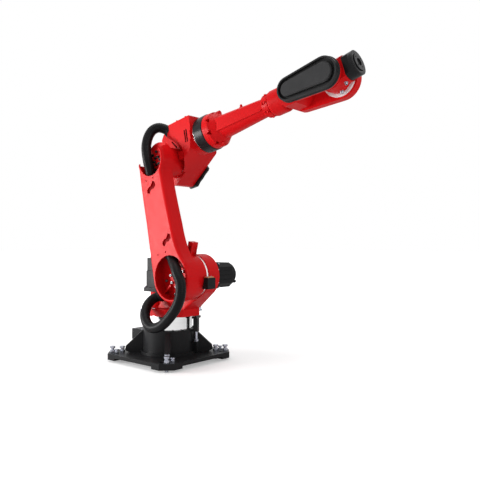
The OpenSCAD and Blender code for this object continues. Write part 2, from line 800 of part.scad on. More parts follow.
module belt_cover() {
    rear = fore_len - cover_span;
    face = cover_y + cover_t;
    color(black) on_fore_axis() {
        along_y(-cover_y - rim_t, -cover_y) taper_slot(rear, cover_rear_r, fore_len, fork_r);
        difference() {
            along_y(-face + 2, -cover_y - rim_t + over) taper_slot(rear, cover_rear_r - 3, fore_len, fork_r - 3);
            along_y(-face, -face + 2 + basin_d)
                taper_slot(rear, cover_rear_r - 3 - rim_w, fore_len, fork_r - 3 - rim_w);
        }
    }
}

module cover_panel() {
    rear = fore_len - cover_span;
    face = cover_y + cover_t;
    floor_y = face - 2 - basin_d;
    color([0.2, 0.2, 0.21]) on_fore_axis() {
        along_y(-face + 3, -floor_y) taper_slot(rear, cover_rear_r - panel_in, fore_len, fork_r - panel_in - 3);
        along_y(-face, -face + 3 + over)
            taper_slot(rear, cover_rear_r - panel_in - 3, fore_len, fork_r - panel_in - 6);
    }
}

module j5_bearings() {
    color(silver) on_fore_axis() translate([fore_len, 0, 0]) {
        ycyl(far_r - 8, body_side + seat, fork_gap);
        ycyl(fork_r - 12, -fork_gap, -body_side - seat);
    }
}

module wrist_body() {
    shoulder = j6_r + 4;
    color(red) in_wrist() {
        ycyl(body_r, -body_side, body_side);
        intersection() {
            xcyl(shoulder, 0, j6_start);
            translate([0, -body_side, -body_r]) cube([j6_start, 2 * body_side, 2 * body_r]);
        }
    }
}

module j6_housing() {
    edge = 4;
    sink = 24;
    color(black) in_wrist() difference() {
        union() {
            intersection() {
                xcyl(j6_r, j6_start, j6_round + over);
                translate([0, -body_side, -body_r]) cube([flange_reach, 2 * body_side, 2 * body_r]);
            }
            xcyl(j6_r, j6_round, flange_reach - edge - over);
            xcyl(j6_r - edge, j6_round, flange_reach - edge);
        }
        xcyl(tool_r + 2, flange_reach - sink, flange_reach);
    }
}

module tool_flange() {
    sink = 24;
    pilot_l = 6;
    color(black) in_wrist() difference() {
        xcyl(tool_r, flange_reach - sink + seat, flange_reach);
        xcyl(pilot_r, flange_reach - pilot_l, flange_reach + over);
        for (a = [45:90:315]) rotate([a, 0, 0]) translate([0, 0, tool_pcd / 2])
            xcyl(tool_hole_r, flange_reach - 2 * pilot_l, flange_reach + over);
    }
}

base_casting();
connector_box();
levelling_bolts();
pad_screws();
j1_stop();
j1_stop_screw();
j1_ring();
turret_casting();
j1_motor();
j2_motor();
j2_ring();
stop_block();
stop_plate();
lower_gland();
upper_arm_casting();
j2_reducer();
j3_reducer();
arm_conduit();
lower_hose();
upper_hose();
elbow_casting();
elbow_cover();
elbow_gland();
j3_ring();
j4_seal();
j4_ring();
forearm_tube();
lifting_eye();
wrist_housing();
belt_cover();
cover_panel();
j5_bearings();
wrist_body();
j6_housing();
tool_flange();
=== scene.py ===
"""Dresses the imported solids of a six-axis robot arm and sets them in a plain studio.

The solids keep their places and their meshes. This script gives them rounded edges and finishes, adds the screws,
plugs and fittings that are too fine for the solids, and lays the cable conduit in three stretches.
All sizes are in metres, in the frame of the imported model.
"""

from __future__ import annotations

import json
import logging
import math
from abc import ABC, abstractmethod
from dataclasses import dataclass
from enum import Enum
from typing import Callable, Iterable, Sequence

import bmesh
import bpy
from bmesh.types import BMesh, BMVert
from bpy.types import Material, Node, NodeSocket, NodeTree, Object
from mathutils import Matrix, Vector

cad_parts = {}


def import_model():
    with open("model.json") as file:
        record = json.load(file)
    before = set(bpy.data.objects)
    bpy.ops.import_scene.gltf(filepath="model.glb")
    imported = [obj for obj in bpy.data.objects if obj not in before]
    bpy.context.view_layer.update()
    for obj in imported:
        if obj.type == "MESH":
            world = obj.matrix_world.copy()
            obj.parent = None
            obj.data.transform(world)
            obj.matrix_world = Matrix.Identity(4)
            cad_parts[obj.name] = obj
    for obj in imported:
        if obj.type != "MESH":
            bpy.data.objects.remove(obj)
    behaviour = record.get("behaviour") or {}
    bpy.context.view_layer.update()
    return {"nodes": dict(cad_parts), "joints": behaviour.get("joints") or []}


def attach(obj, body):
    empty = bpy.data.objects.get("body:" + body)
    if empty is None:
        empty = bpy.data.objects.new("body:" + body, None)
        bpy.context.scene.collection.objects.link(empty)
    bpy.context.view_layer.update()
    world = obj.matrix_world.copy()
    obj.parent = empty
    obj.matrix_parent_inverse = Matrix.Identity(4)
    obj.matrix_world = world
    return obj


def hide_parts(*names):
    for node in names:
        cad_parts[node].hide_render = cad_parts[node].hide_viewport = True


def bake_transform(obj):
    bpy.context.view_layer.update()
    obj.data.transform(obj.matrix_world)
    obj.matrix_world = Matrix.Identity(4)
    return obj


log = logging.getLogger("robot_arm")

Triple = tuple[float, float, float]

MM = 0.001
NOISE_SPAN = (0.3, 0.7)  # where most values of a noise lie
SMOOTH_ANGLE = 38.0  # degrees from which an edge of a small piece is shaded sharp
WELD = 0.02 * MM  # points closer than this become one
SQUARE = 0.9999  # cosine from which a facet counts as square to an axis
FLAT_ANGLE = 0.5  # degrees below which neighbouring facets are one flat face
NORMAL_WEIGHT = 95  # how much wide faces lead the shading of rounded edges


class Axis(Enum):
    """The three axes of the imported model's frame."""

    X = (1.0, 0.0, 0.0)
    Y = (0.0, 1.0, 0.0)
    Z = (0.0, 0.0, 1.0)


class Head(Enum):
    """Shapes of a screw's head: height, radius and whether it is hexagonal at each step, in units of the thread."""

    SOCKET = ((-0.3, 0.75, False), (0.86, 0.75, False), (1.0, 0.66, False), (1.0, 0.41, True), (0.45, 0.41, True))
    BUTTON = ((-0.3, 0.9, False), (0.14, 0.9, False), (0.36, 0.72, False), (0.46, 0.44, False), (0.46, 0.29, True),
              (0.18, 0.29, True))


def add_node(tree: NodeTree, kind: str, *sources: NodeSocket | float, **options: str) -> Node:
    """Adds a node to a tree.

    Args:
        tree: The node tree.
        kind: The node's type.
        sources: What feeds its inputs in order: a socket or a number.
        options: Its settings.

    Returns:
        The node.
    """
    made = tree.nodes.new(kind)
    for key, value in options.items():
        setattr(made, key, value)
    for k, source in enumerate(sources):
        if isinstance(source, NodeSocket):
            tree.links.new(source, made.inputs[k])
        else:
            made.inputs[k].default_value = source
    return made


def maths(tree: NodeTree, operation: str, *sources: NodeSocket | float) -> NodeSocket:
    """Adds a node that works on numbers and returns its result."""
    return add_node(tree, "ShaderNodeMath", *sources, operation=operation).outputs[0]


def mapped(tree: NodeTree, value: NodeSocket, source: tuple[float, float], target: tuple[float, float]) -> NodeSocket:
    """Adds a node that maps one range of values to another and returns its result."""
    return add_node(tree, "ShaderNodeMapRange", value, *source, *target).outputs[0]


class Shader:
    """The node tree of one material while it is put together."""

    def __init__(self, name: str) -> None:
        """Starts a material with a principled shader.

        Args:
            name: Name of the material.
        """
        self.material = bpy.data.materials.new(name)
        self.material.use_nodes = True
        self.tree = self.material.node_tree
        self.surface = self.tree.nodes["Principled BSDF"]
        self.place = self.tree.nodes.new("ShaderNodeTexCoord").outputs["Object"]

    def constants(self, values: dict[str, float | tuple[float, ...]]) -> None:
        """Sets sockets of the surface shader that are the same all over.

        Args:
            values: The sockets' names and values.
        """
        for name, value in values.items():
            self.surface.inputs[name].default_value = value

    def noise(self, scale: float, detail: float, stretch: tuple[float, ...] = (1, 1, 1)) -> NodeSocket:
        """Adds a noise texture in the object's own space.

        Args:
            scale: Features per metre.
            detail: Octaves.
            stretch: Factor along each axis.

        Returns:
            The noise value, from 0 to 1.
        """
        mapping = add_node(self.tree, "ShaderNodeMapping", self.place)
        mapping.inputs["Scale"].default_value = stretch
        texture = add_node(self.tree, "ShaderNodeTexNoise", mapping.outputs["Vector"])
        texture.inputs["Scale"].default_value = scale
        texture.inputs["Detail"].default_value = detail
        return texture.outputs["Fac"]

    def shades(self, value: NodeSocket, colour: Sequence[float], dark: float, light: float) -> None:
        """Colours the surface between two tones of a colour.

        Args:
            value: A noise value.
            colour: The colour.
            dark: Its brightness at the noise's low end.
            light: Its brightness at the high end.
        """
        ramp = add_node(self.tree, "ShaderNodeValToRGB", value)
        for element, position, factor in zip(ramp.color_ramp.elements, NOISE_SPAN, (dark, light)):
            element.position = position
            element.color = (*toned(colour, factor), 1)
        self.tree.links.new(ramp.outputs["Color"], self.surface.inputs["Base Color"])

    def rough(self, value: NodeSocket, middle: float, below: float, above: float) -> None:
        """Varies the roughness with a noise.

        Args:
            value: A noise value.
            middle: The roughness that is varied.
            below: What it loses at the noise's low end.
            above: What it gains at the high end.
        """
        level = mapped(self.tree, value, NOISE_SPAN, (middle - below, middle + above))
        self.tree.links.new(level, self.surface.inputs["Roughness"])

    def bump(self, value: NodeSocket, height: float) -> None:
        """Raises the surface by a height in metres where the value is 1.

        Args:
            value: A noise value.
            height: Height of the relief.
        """
        node = self.tree.nodes.new("ShaderNodeBump")
        node.inputs["Strength"].default_value = 1.0
        node.inputs["Distance"].default_value = height
        self.tree.links.new(value, node.inputs["Height"])
        before = self.surface.inputs["Normal"]
        if before.is_linked:
            self.tree.links.new(before.links[0].from_socket, node.inputs["Normal"])
        self.tree.links.new(node.outputs["Normal"], before)


def toned(colour: Sequence[float], factor: float) -> Triple:
    """Returns a colour with its brightness multiplied by a factor."""
    return (colour[0] * factor, colour[1] * factor, colour[2] * factor)


@dataclass(frozen=True)
class Finish(ABC):
    """A surface finish, made into a material the first time it is used."""

    name: str
    slot: str
    colour: Triple

    def material(self) -> Material:
        """Returns the finish's material."""
        found = bpy.data.materials.get(self.name)
        return found or self.made().material

    @abstractmethod
    def made(self) -> Shader:
        """Returns the finish's nodes, newly made."""


@dataclass(frozen=True)
class Enamel(Finish):
    """Sprayed paint on a casting: orange peel with a finer share on it, a soft coat and slight mottling."""

    roughness: float = 0.36
    coat: float = 0.035
    coat_roughness: float = 0.14
    shine: float = 0.07
    peel: float = 0.00005
    fine_share: float = 0.35

    def made(self) -> Shader:
        """Returns the paint's nodes."""
        s = Shader(self.name)
        s.constants({"Coat Weight": self.coat, "Coat Roughness": self.coat_roughness, "Specular IOR Level": self.shine})
        s.shades(s.noise(scale=5, detail=3), self.colour, dark=0.93, light=1.05)
        s.rough(s.noise(scale=38, detail=3), self.roughness, below=0.05, above=0.07)
        s.bump(s.noise(scale=160, detail=2), self.peel)
        s.bump(s.noise(scale=620, detail=1), self.peel * self.fine_share)
        return s


@dataclass(frozen=True)
class Turned(Finish):
    """Bare metal off a lathe, with fine lines round its axis, along which its noise has a small share of its scale."""

    axis: Axis = Axis.Z
    roughness: float = 0.26
    metal: float = 1.0
    brushed: float = 0.3
    line_share: float = 0.015
    relief: float = 0.00001

    def made(self) -> Shader:
        """Returns the metal's nodes."""
        s = Shader(self.name)
        s.constants({"Metallic": self.metal, "Anisotropic": self.brushed})
        along = tuple(1.0 if a else self.line_share for a in self.axis.value)
        lines = s.noise(scale=1400, detail=3, stretch=along)
        s.shades(s.noise(scale=60, detail=4, stretch=along), self.colour, dark=0.9, light=1.04)
        s.rough(lines, self.roughness, below=0.06, above=0.08)
        s.bump(lines, self.relief)
        return s


@dataclass(frozen=True)
class Plated(Finish):
    """Zinc-plated steel with a faint cloudy bloom."""

    roughness: float = 0.3
    relief: float = 0.00003

    def made(self) -> Shader:
        """Returns the plating's nodes."""
        s = Shader(self.name)
        s.constants({"Metallic": 1.0})
        s.shades(s.noise(scale=90, detail=4), self.colour, dark=0.82, light=1.05)
        s.rough(s.noise(scale=240, detail=3), self.roughness, below=0.08, above=0.12)
        s.bump(s.noise(scale=900, detail=2), self.relief)
        return s


@dataclass(frozen=True)
class Moulded(Finish):
    """Moulded plastic with a fine spark grain."""

    roughness: float = 0.42
    shine: float = 0.12
    grain: float = 0.00003

    def made(self) -> Shader:
        """Returns the plastic's nodes."""
        s = Shader(self.name)
        s.constants({"Specular IOR Level": self.shine})
        s.shades(s.noise(scale=12, detail=3), self.colour, dark=0.88, light=1.12)
        s.rough(s.noise(scale=55, detail=3), self.roughness, below=0.06, above=0.08)
        s.bump(s.noise(scale=1500, detail=2), self.grain)
        return s


RED = Enamel("red_enamel", "casting_red", (0.60, 0.0055, 0.0075))
# Dark red of the clamp seats' floors: painted shade of the recesses, darker than the casting's red
POCKET_SHADE = Enamel("pocket_painted_shade", "casting_red", (0.20, 0.002, 0.003), roughness=0.5, coat=0.0, shine=0.02)
BASE_BLACK = Enamel("base_enamel", "base_black", (0.011, 0.011, 0.012), roughness=0.4, shine=0.1)
MOTOR_BLACK = Enamel("motor_enamel", "motor_black", (0.009, 0.009, 0.010), roughness=0.44, shine=0.1)
STOP_BLACK = Enamel("ring_enamel", "stop_black", (0.011, 0.011, 0.012), roughness=0.3, shine=0.12)
FLANGE_BLACK = Enamel("wrist_enamel", "flange_black", (0.011, 0.011, 0.012), roughness=0.26, shine=0.12)
SILVER_Z = Turned("turned_upright", "machined_silver", (0.93, 0.935, 0.94), Axis.Z, roughness=0.13)
SILVER_Y = Turned("turned_across", "machined_silver", (0.88, 0.885, 0.89), Axis.Y)
SILVER_X = Turned("turned_along", "machined_silver", (0.88, 0.885, 0.89), Axis.X)
SEAL = Turned("bearing_seal", "machined_silver", (0.86, 0.865, 0.87), Axis.Y, roughness=0.4, metal=0.2)
ZINC = Plated("zinc", "bolt_steel", (0.44, 0.455, 0.52), roughness=0.22)
OXIDE = Plated("oxide", "bolt_steel", (0.24, 0.245, 0.255), roughness=0.38)
COPPER = Plated("copper_pad", "stop_copper", (0.52, 0.26, 0.13), roughness=0.42)
CONDUIT = Moulded("conduit_plastic", "conduit_black", (0.005, 0.005, 0.0055), roughness=0.32, shine=0.1)
GLAND = Moulded("gland_plastic", "gland_black", (0.008, 0.008, 0.009), roughness=0.42)
COVER = Moulded("cover_plastic", "cover_black", (0.020, 0.020, 0.0205), roughness=0.42, shine=0.14)
PANEL = Moulded("panel_plastic", "cover_grey", (0.036, 0.036, 0.037), roughness=0.5, shine=0.1)
# Near-black bars laid in the elbow's slots: painted shade standing for the slots' depth
SLOT_SHADE = Moulded("slot_painted_shade", "gland_black", (0.002, 0.002, 0.002), roughness=0.8, shine=0.0)


def aimed(point: Vector, way: Vector) -> Matrix:
    """Places a local z axis.

    Args:
        point: Where the local origin goes.
        way: Where the local z axis points.

    Returns:
        The matrix that does it.
    """
    return Matrix.Translation(point) @ way.to_track_quat("Z", "Y").to_matrix().to_4x4()


def add_piece(name: str, bm: BMesh, finish: Finish, body: str | None) -> Object:
    """Makes an object from a mesh, finishes it and lets it ride on a body.

    Args:
        name: The piece's name.
        bm: Its mesh, which is freed.
        finish: Its finish.
        body: The body that it rides on, or None for a piece that is left unattached.

    Returns:
        The object.
    """
    bmesh.ops.recalc_face_normals(bm, faces=bm.faces)
    mesh = bpy.data.meshes.new(name)
    bm.to_mesh(mesh)
    bm.free()
    mesh.polygons.foreach_set("use_smooth", [True] * len(mesh.polygons))
    mesh.set_sharp_from_angle(angle=math.radians(SMOOTH_ANGLE))
    mesh.materials.append(finish.material())
    piece = bpy.data.objects.new(name, mesh)
    bpy.context.scene.collection.objects.link(piece)
    if body:
        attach(piece, body)
        log.info("%s rides on %s", name, body)
    return piece


def ring(bm: BMesh, place: Matrix, z: float, radius: Callable[[float], float], sides: int) -> list[BMVert]:
    """Adds a ring of points whose radius may change with the angle.

    Args:
        bm: The mesh.
        place: Where the ring's axis is.
        z: Height along that axis.
        radius: Radius at an angle.
        sides: Number of points.

    Returns:
        The points.
    """
    turns = [2 * math.pi * i / sides for i in range(sides)]
    return [bm.verts.new(place @ Vector((radius(a) * math.cos(a), radius(a) * math.sin(a), z))) for a in turns]


def skin(bm: BMesh, rings: Sequence[Sequence[BMVert]]) -> None:
    """Joins rings of points into a closed skin with a cap at each end."""
    for low, high in zip(rings, rings[1:]):
        for i in range(len(low)):
            k = (i + 1) % len(low)
            bm.faces.new((low[i], low[k], high[k], high[i]))
    bm.faces.new(list(reversed(rings[0])))
    bm.faces.new(rings[-1])


def round_at(r: float) -> Callable[[float], float]:
    """Returns the radius of a circle, for any angle."""
    return lambda a: r


def hexagon_at(flat: float) -> Callable[[float], float]:
    """Returns the radius of a hexagon, given half its width across flats."""
    return lambda a: flat / math.cos((a + math.pi / 6) % (math.pi / 3) - math.pi / 6)


def ridged_at(r: float, ridges: int, depth: float) -> Callable[[float], float]:
    """Returns the radius of a round grip with ridges along it."""
    return lambda a: r - depth * (0.5 - 0.5 * math.cos(ridges * a))


def lathe(bm: BMesh, place: Matrix, profile: Sequence[tuple[float, float]], sides: int) -> None:
    """Adds a turned solid.

    Args:
        bm: The mesh to add to.
        place: Its axis, along local z.
        profile: Radius and height of each step, from the bottom up.
        sides: Facets around it.
    """
    skin(bm, [ring(bm, place, z, round_at(r), sides) for r, z in profile])


def gripped(bm: BMesh, place: Matrix, steps: Iterable[tuple[float, float, bool]], sides: int, ridges: int,
            depth: float) -> None:
    """Adds a turned solid with ridges along its grip.

    Args:
        bm: The mesh to add to.
        place: Its axis, along local z.
        steps: Radius and height of each step, from the bottom up, and whether it has the ridges.
        sides: Facets around it.
        ridges: Number of ridges.
        depth: Their depth.
    """
    skin(bm, [ring(bm, place, z, ridged_at(r, ridges, depth) if ridged else round_at(r), sides)
              for r, z, ridged in steps])


def hoop(bm: BMesh, place: Matrix, inner: float, outer: float, low: float, high: float, sides: int = 64) -> None:
    """Adds a flat ring with cut edges.

    Args:
        bm: The mesh to add to.
        place: Its axis, along local z.
        inner: Its bore's radius.
        outer: Its outer radius.
        low: Where it begins along the axis.
        high: Where it ends.
        sides: Facets around it.
    """
    cut_share = 0.18
    cut = cut_share * min(outer - inner, high - low)
    steps = ((inner, low), (outer - cut, low), (outer, low + cut), (outer, high - cut), (outer - cut, high),
             (inner, high))
    rings = [ring(bm, place, z, round_at(r), sides) for r, z in steps]
    for near, far in zip(rings, rings[1:] + rings[:1]):
        for i in range(sides):
            k = (i + 1) % sides
            bm.faces.new((near[i], near[k], far[k], far[i]))


def bar(bm: BMesh, place: Matrix, length: float, width: float, depth: float) -> None:
    """Adds a flat bar with cut corners and a cut upper edge.

    Args:
        bm: The mesh to add to.
        place: The middle of its upper face, with x along the bar and z out of it.
        length: Its length.
        width: Its width.
        depth: How far it reaches below that face.
    """
    cut_share = 0.25
    cut = cut_share * width
    rings = []
    for z, inset in ((-depth, 0.0), (-cut, 0.0), (0.0, 0.5 * cut)):
        a, b = 0.5 * length - inset, 0.5 * width - inset
        outline = [(a - cut, -b), (a, cut - b), (a, b - cut), (a - cut, b), (cut - a, b), (-a, b - cut), (-a, cut - b),
                   (cut - a, -b)]
        rings.append([bm.verts.new(place @ Vector((x, y, z))) for x, y in outline])
    skin(bm, rings)


@dataclass(frozen=True)
class Plug:
    """A round cable plug: a collar, a ridged grip and a capped end.

    Its steps give radius, height and whether they are ridged, as shares of the grip's radius and of the length.
    """

    radius: float
    length: float
    sides: int = 72
    ridges: int = 18
    ridge_share: float = 0.07
    steps: Sequence[tuple[float, float, bool]] = (
        (0.8, -0.3, False), (0.8, 0.1, False), (1.0, 0.14, False), (1.0, 0.2, True), (1.0, 0.7, True),
        (0.88, 0.76, False), (0.7, 0.8, False), (0.64, 1.0, False), (0.4, 1.0, False), (0.4, 0.86, False),
    )

    def add(self, bm: BMesh, place: Matrix) -> None:
        """Adds the plug where it leaves its socket.

        Args:
            bm: The mesh to add to.
            place: The socket's face, with z pointing out.
        """
        steps = [(r * self.radius, z * self.length, ridged) for r, z, ridged in self.steps]
        gripped(bm, place, steps, self.sides, self.ridges, self.ridge_share * self.radius)


@dataclass(frozen=True)
class Screw:
    """A screw's head, sized by its thread, as are the radius and height of its washer's steps."""

    thread: float
    head: Head = Head.SOCKET
    washer: bool = False
    sides: int = 24
    washer_steps: Sequence[tuple[float, float]] = ((1.02, -0.3), (1.02, 0.112), (0.96, 0.16))

    def add(self, bm: BMesh, place: Matrix) -> None:
        """Adds the head, on its washer if it has one, with its underside on the local origin.

        Args:
            bm: The mesh to add to.
            place: Where the head sits, with z pointing out of the surface.
        """
        d, base = self.thread, 0.0
        if self.washer:
            base = self.washer_steps[-1][1] * d
            lathe(bm, place, [(r * d, z * d) for r, z in self.washer_steps], self.sides)
        skin(bm, [ring(bm, place, base + z * d, hexagon_at(r * d) if six_sided else round_at(r * d), self.sides)
                  for z, r, six_sided in self.head.value])


@dataclass(frozen=True)
class Circle:
    """Places spread evenly on a circle, which may stand above a face; the first one's angle is in degrees."""

    radius: float
    count: int
    start: float = 0.0
    height: float = 0.0

    def turns(self) -> list[float]:
        """Returns the angle of each place."""
        return [math.radians(self.start + 360 * i / self.count) for i in range(self.count)]

    def places(self, face: Matrix) -> list[Matrix]:
        """Spreads the places about a face's z axis.

        Args:
            face: The face's middle, with z pointing out.

        Returns:
            One matrix for each place.
        """
        r = self.radius
        return [face @ Matrix.Translation((r * math.cos(a), r * math.sin(a), self.height)) for a in self.turns()]


def add_screws(name: str, body: str, screw: Screw, places: Iterable[Matrix], finish: Finish = ZINC) -> None:
    """Makes one piece of many screws.

    Args:
        name: The piece's name.
        body: The body that carries them.
        screw: What each one is.
        places: Where each one sits.
        finish: Their finish.
    """
    bm = bmesh.new()
    for place in places:
        screw.add(bm, place)
    add_piece(name, bm, finish, body)


@dataclass(frozen=True)
class WideFace:
    """A flat face of a solid, square to Y, whose own facets overlap."""

    level: float
    forward: bool


class Refill:
    """A modifier that triangulates wide faces afresh inside their outlines, the edges with one face beside them."""

    near: float = 0.2 * MM
    square: float = 0.999
    one: float = 1.0
    slack: float = 0.1

    def __init__(self, name: str) -> None:
        """Starts the modifier's nodes.

        Args:
            name: Name of the node group.
        """
        self.group = bpy.data.node_groups.new(name, "GeometryNodeTree")
        for way in ("INPUT", "OUTPUT"):
            self.group.interface.new_socket("Geometry", in_out=way, socket_type="NodeSocketGeometry")
        self.shape = add_node(self.group, "NodeGroupInput").outputs["Geometry"]

    def across(self, kind: str) -> NodeSocket:
        """Returns the Y part of a field such as the position."""
        return add_node(self.group, "ShaderNodeSeparateXYZ", add_node(self.group, kind).outputs[0]).outputs["Y"]

    def fill(self, face: WideFace) -> None:
        """Takes one face's facets out and fills its outline anew.

        Args:
            face: The face.
        """
        tree = self.group
        there = maths(tree, "COMPARE", self.across("GeometryNodeInputPosition"), face.level, self.near)
        lean = maths(tree, "ABSOLUTE", self.across("GeometryNodeInputNormal"))
        chosen = maths(tree, "MULTIPLY", there, maths(tree, "GREATER_THAN", lean, self.square))
        rest = add_node(tree, "GeometryNodeSeparateGeometry", self.shape, chosen, domain="FACE").outputs["Inverted"]
        sides = add_node(tree, "GeometryNodeInputMeshEdgeNeighbors").outputs[0]
        lone = maths(tree, "COMPARE", sides, self.one, self.slack)
        rim = add_node(tree, "GeometryNodeMeshToCurve", rest, lone)
        turned = add_node(tree, "GeometryNodeTransform", rim.outputs[0])
        turned.inputs["Rotation"].default_value = (math.radians(90), 0, 0)
        filled = add_node(tree, "GeometryNodeFillCurve", turned.outputs[0])
        back = add_node(tree, "GeometryNodeTransform", filled.outputs[0])
        back.inputs["Rotation"].default_value = (math.radians(-90), 0, 0)
        back.inputs["Translation"].default_value = (0, face.level, 0)
        skinned = back if face.forward else add_node(tree, "GeometryNodeFlipFaces", back.outputs[0])
        flat = add_node(tree, "GeometryNodeSetShadeSmooth", skinned.outputs[0], domain="FACE")
        flat.inputs["Shade Smooth"].default_value = False
        joined = add_node(tree, "GeometryNodeJoinGeometry", rest)
        tree.links.new(flat.outputs[0], joined.inputs[0])
        merged = add_node(tree, "GeometryNodeMergeByDistance", joined.outputs[0])
        merged.inputs["Distance"].default_value = WELD
        self.shape = merged.outputs[0]

    def use(self, node: Object, finish: Finish) -> None:
        """Gives the modifier to a solid.

        Args:
            node: The solid's object.
            finish: Its finish.
        """
        painted = add_node(self.group, "GeometryNodeSetMaterial", self.shape)
        painted.inputs["Material"].default_value = finish.material()
        add_node(self.group, "NodeGroupOutput", painted.outputs[0])
        node.modifiers.new("wide_faces", "NODES").node_group = self.group


def dress(node: Object, finish: Finish, edge: float, segments: int = 3, sharp: float = 32.0,
          flatten: bool = True, plane: Axis | None = None, wide: Sequence[WideFace] = ()) -> None:
    """Gives a solid its finish and rounds its edges.

    Args:
        node: The solid's object.
        finish: Its finish.
        edge: Width of the edge rounding.
        segments: Steps across that rounding.
        sharp: Angle in degrees from which an edge is rounded.
        flatten: Whether facets in one plane become one face first.
        plane: Facets square to this axis are shaded flat, so that a wide face shows no streaks.
        wide: Faces that are triangulated afresh.
    """
    mesh = node.data
    mesh.materials.clear()
    mesh.materials.append(finish.material())
    if "custom_normal" in mesh.attributes:
        mesh.attributes.remove(mesh.attributes["custom_normal"])
    square = Vector(plane.value) if plane else Vector()
    mesh.polygons.foreach_set("use_smooth", [abs(p.normal.dot(square)) < SQUARE for p in mesh.polygons])
    weld = node.modifiers.new("weld", "WELD")
    weld.merge_threshold = WELD
    if flatten:
        flat = node.modifiers.new("flat_faces", "DECIMATE")
        flat.decimate_type = "DISSOLVE"
        flat.angle_limit = math.radians(FLAT_ANGLE)
    if wide:
        refill = Refill(f"{node.name}_faces")
        for face in wide:
            refill.fill(face)
        refill.use(node, finish)
    bevel = node.modifiers.new("edges", "BEVEL")
    bevel.width = edge
    bevel.segments = segments
    bevel.limit_method = "ANGLE"
    bevel.angle_limit = math.radians(sharp)
    bevel.miter_outer = "MITER_ARC"
    bevel.use_clamp_overlap = True
    normals = node.modifiers.new("normals", "WEIGHTED_NORMAL")
    normals.keep_sharp = plane is not None
    normals.weight = NORMAL_WEIGHT


@dataclass
class Frames:
    """The arm's own axes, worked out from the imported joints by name."""

    joints: dict[str, dict]

    def at(self, joint: str) -> Vector:
        """Returns a joint's place."""
        return Vector(self.joints[joint]["pos_m"])

    def along(self, joint: str) -> Vector:
        """Returns a joint's axis."""
        return Vector(self.joints[joint]["axis"]).normalized()

    def leaning(self, origin: Vector, way: Vector) -> Matrix:
        """Makes a frame whose z axis leans in the arm's plane.

        Args:
            origin: The frame's origin.
            way: Its z axis.

        Returns:
            A matrix with y across the arm and x square to both.
        """
        z = way.normalized()
        y = Vector(Axis.Y.value)
        x = y.cross(z)
        turn = Matrix((x, y, z)).transposed().to_4x4()
        return Matrix.Translation(origin) @ turn

    def upper_arm(self) -> Matrix:
        """Returns the frame of the upper arm: z from the second joint to the third."""
        low, top = self.at("j2_shoulder"), self.at("j3_elbow")
        return self.leaning(low, top - low)

    def forearm(self) -> Matrix:
        """Returns the frame of the forearm: x along its axis, z up, from the fourth joint."""
        along = self.along("j4_roll")
        up = along.cross(Vector(Axis.Y.value))
        return self.leaning(self.at("j4_roll"), up)

    def wrist(self) -> Matrix:
        """Returns the frame of the wrist: x along the sixth axis, from the fifth joint."""
        up = self.along("j6_turn").cross(Vector(Axis.Y.value))
        return self.leaning(self.at("j5_bend"), up)


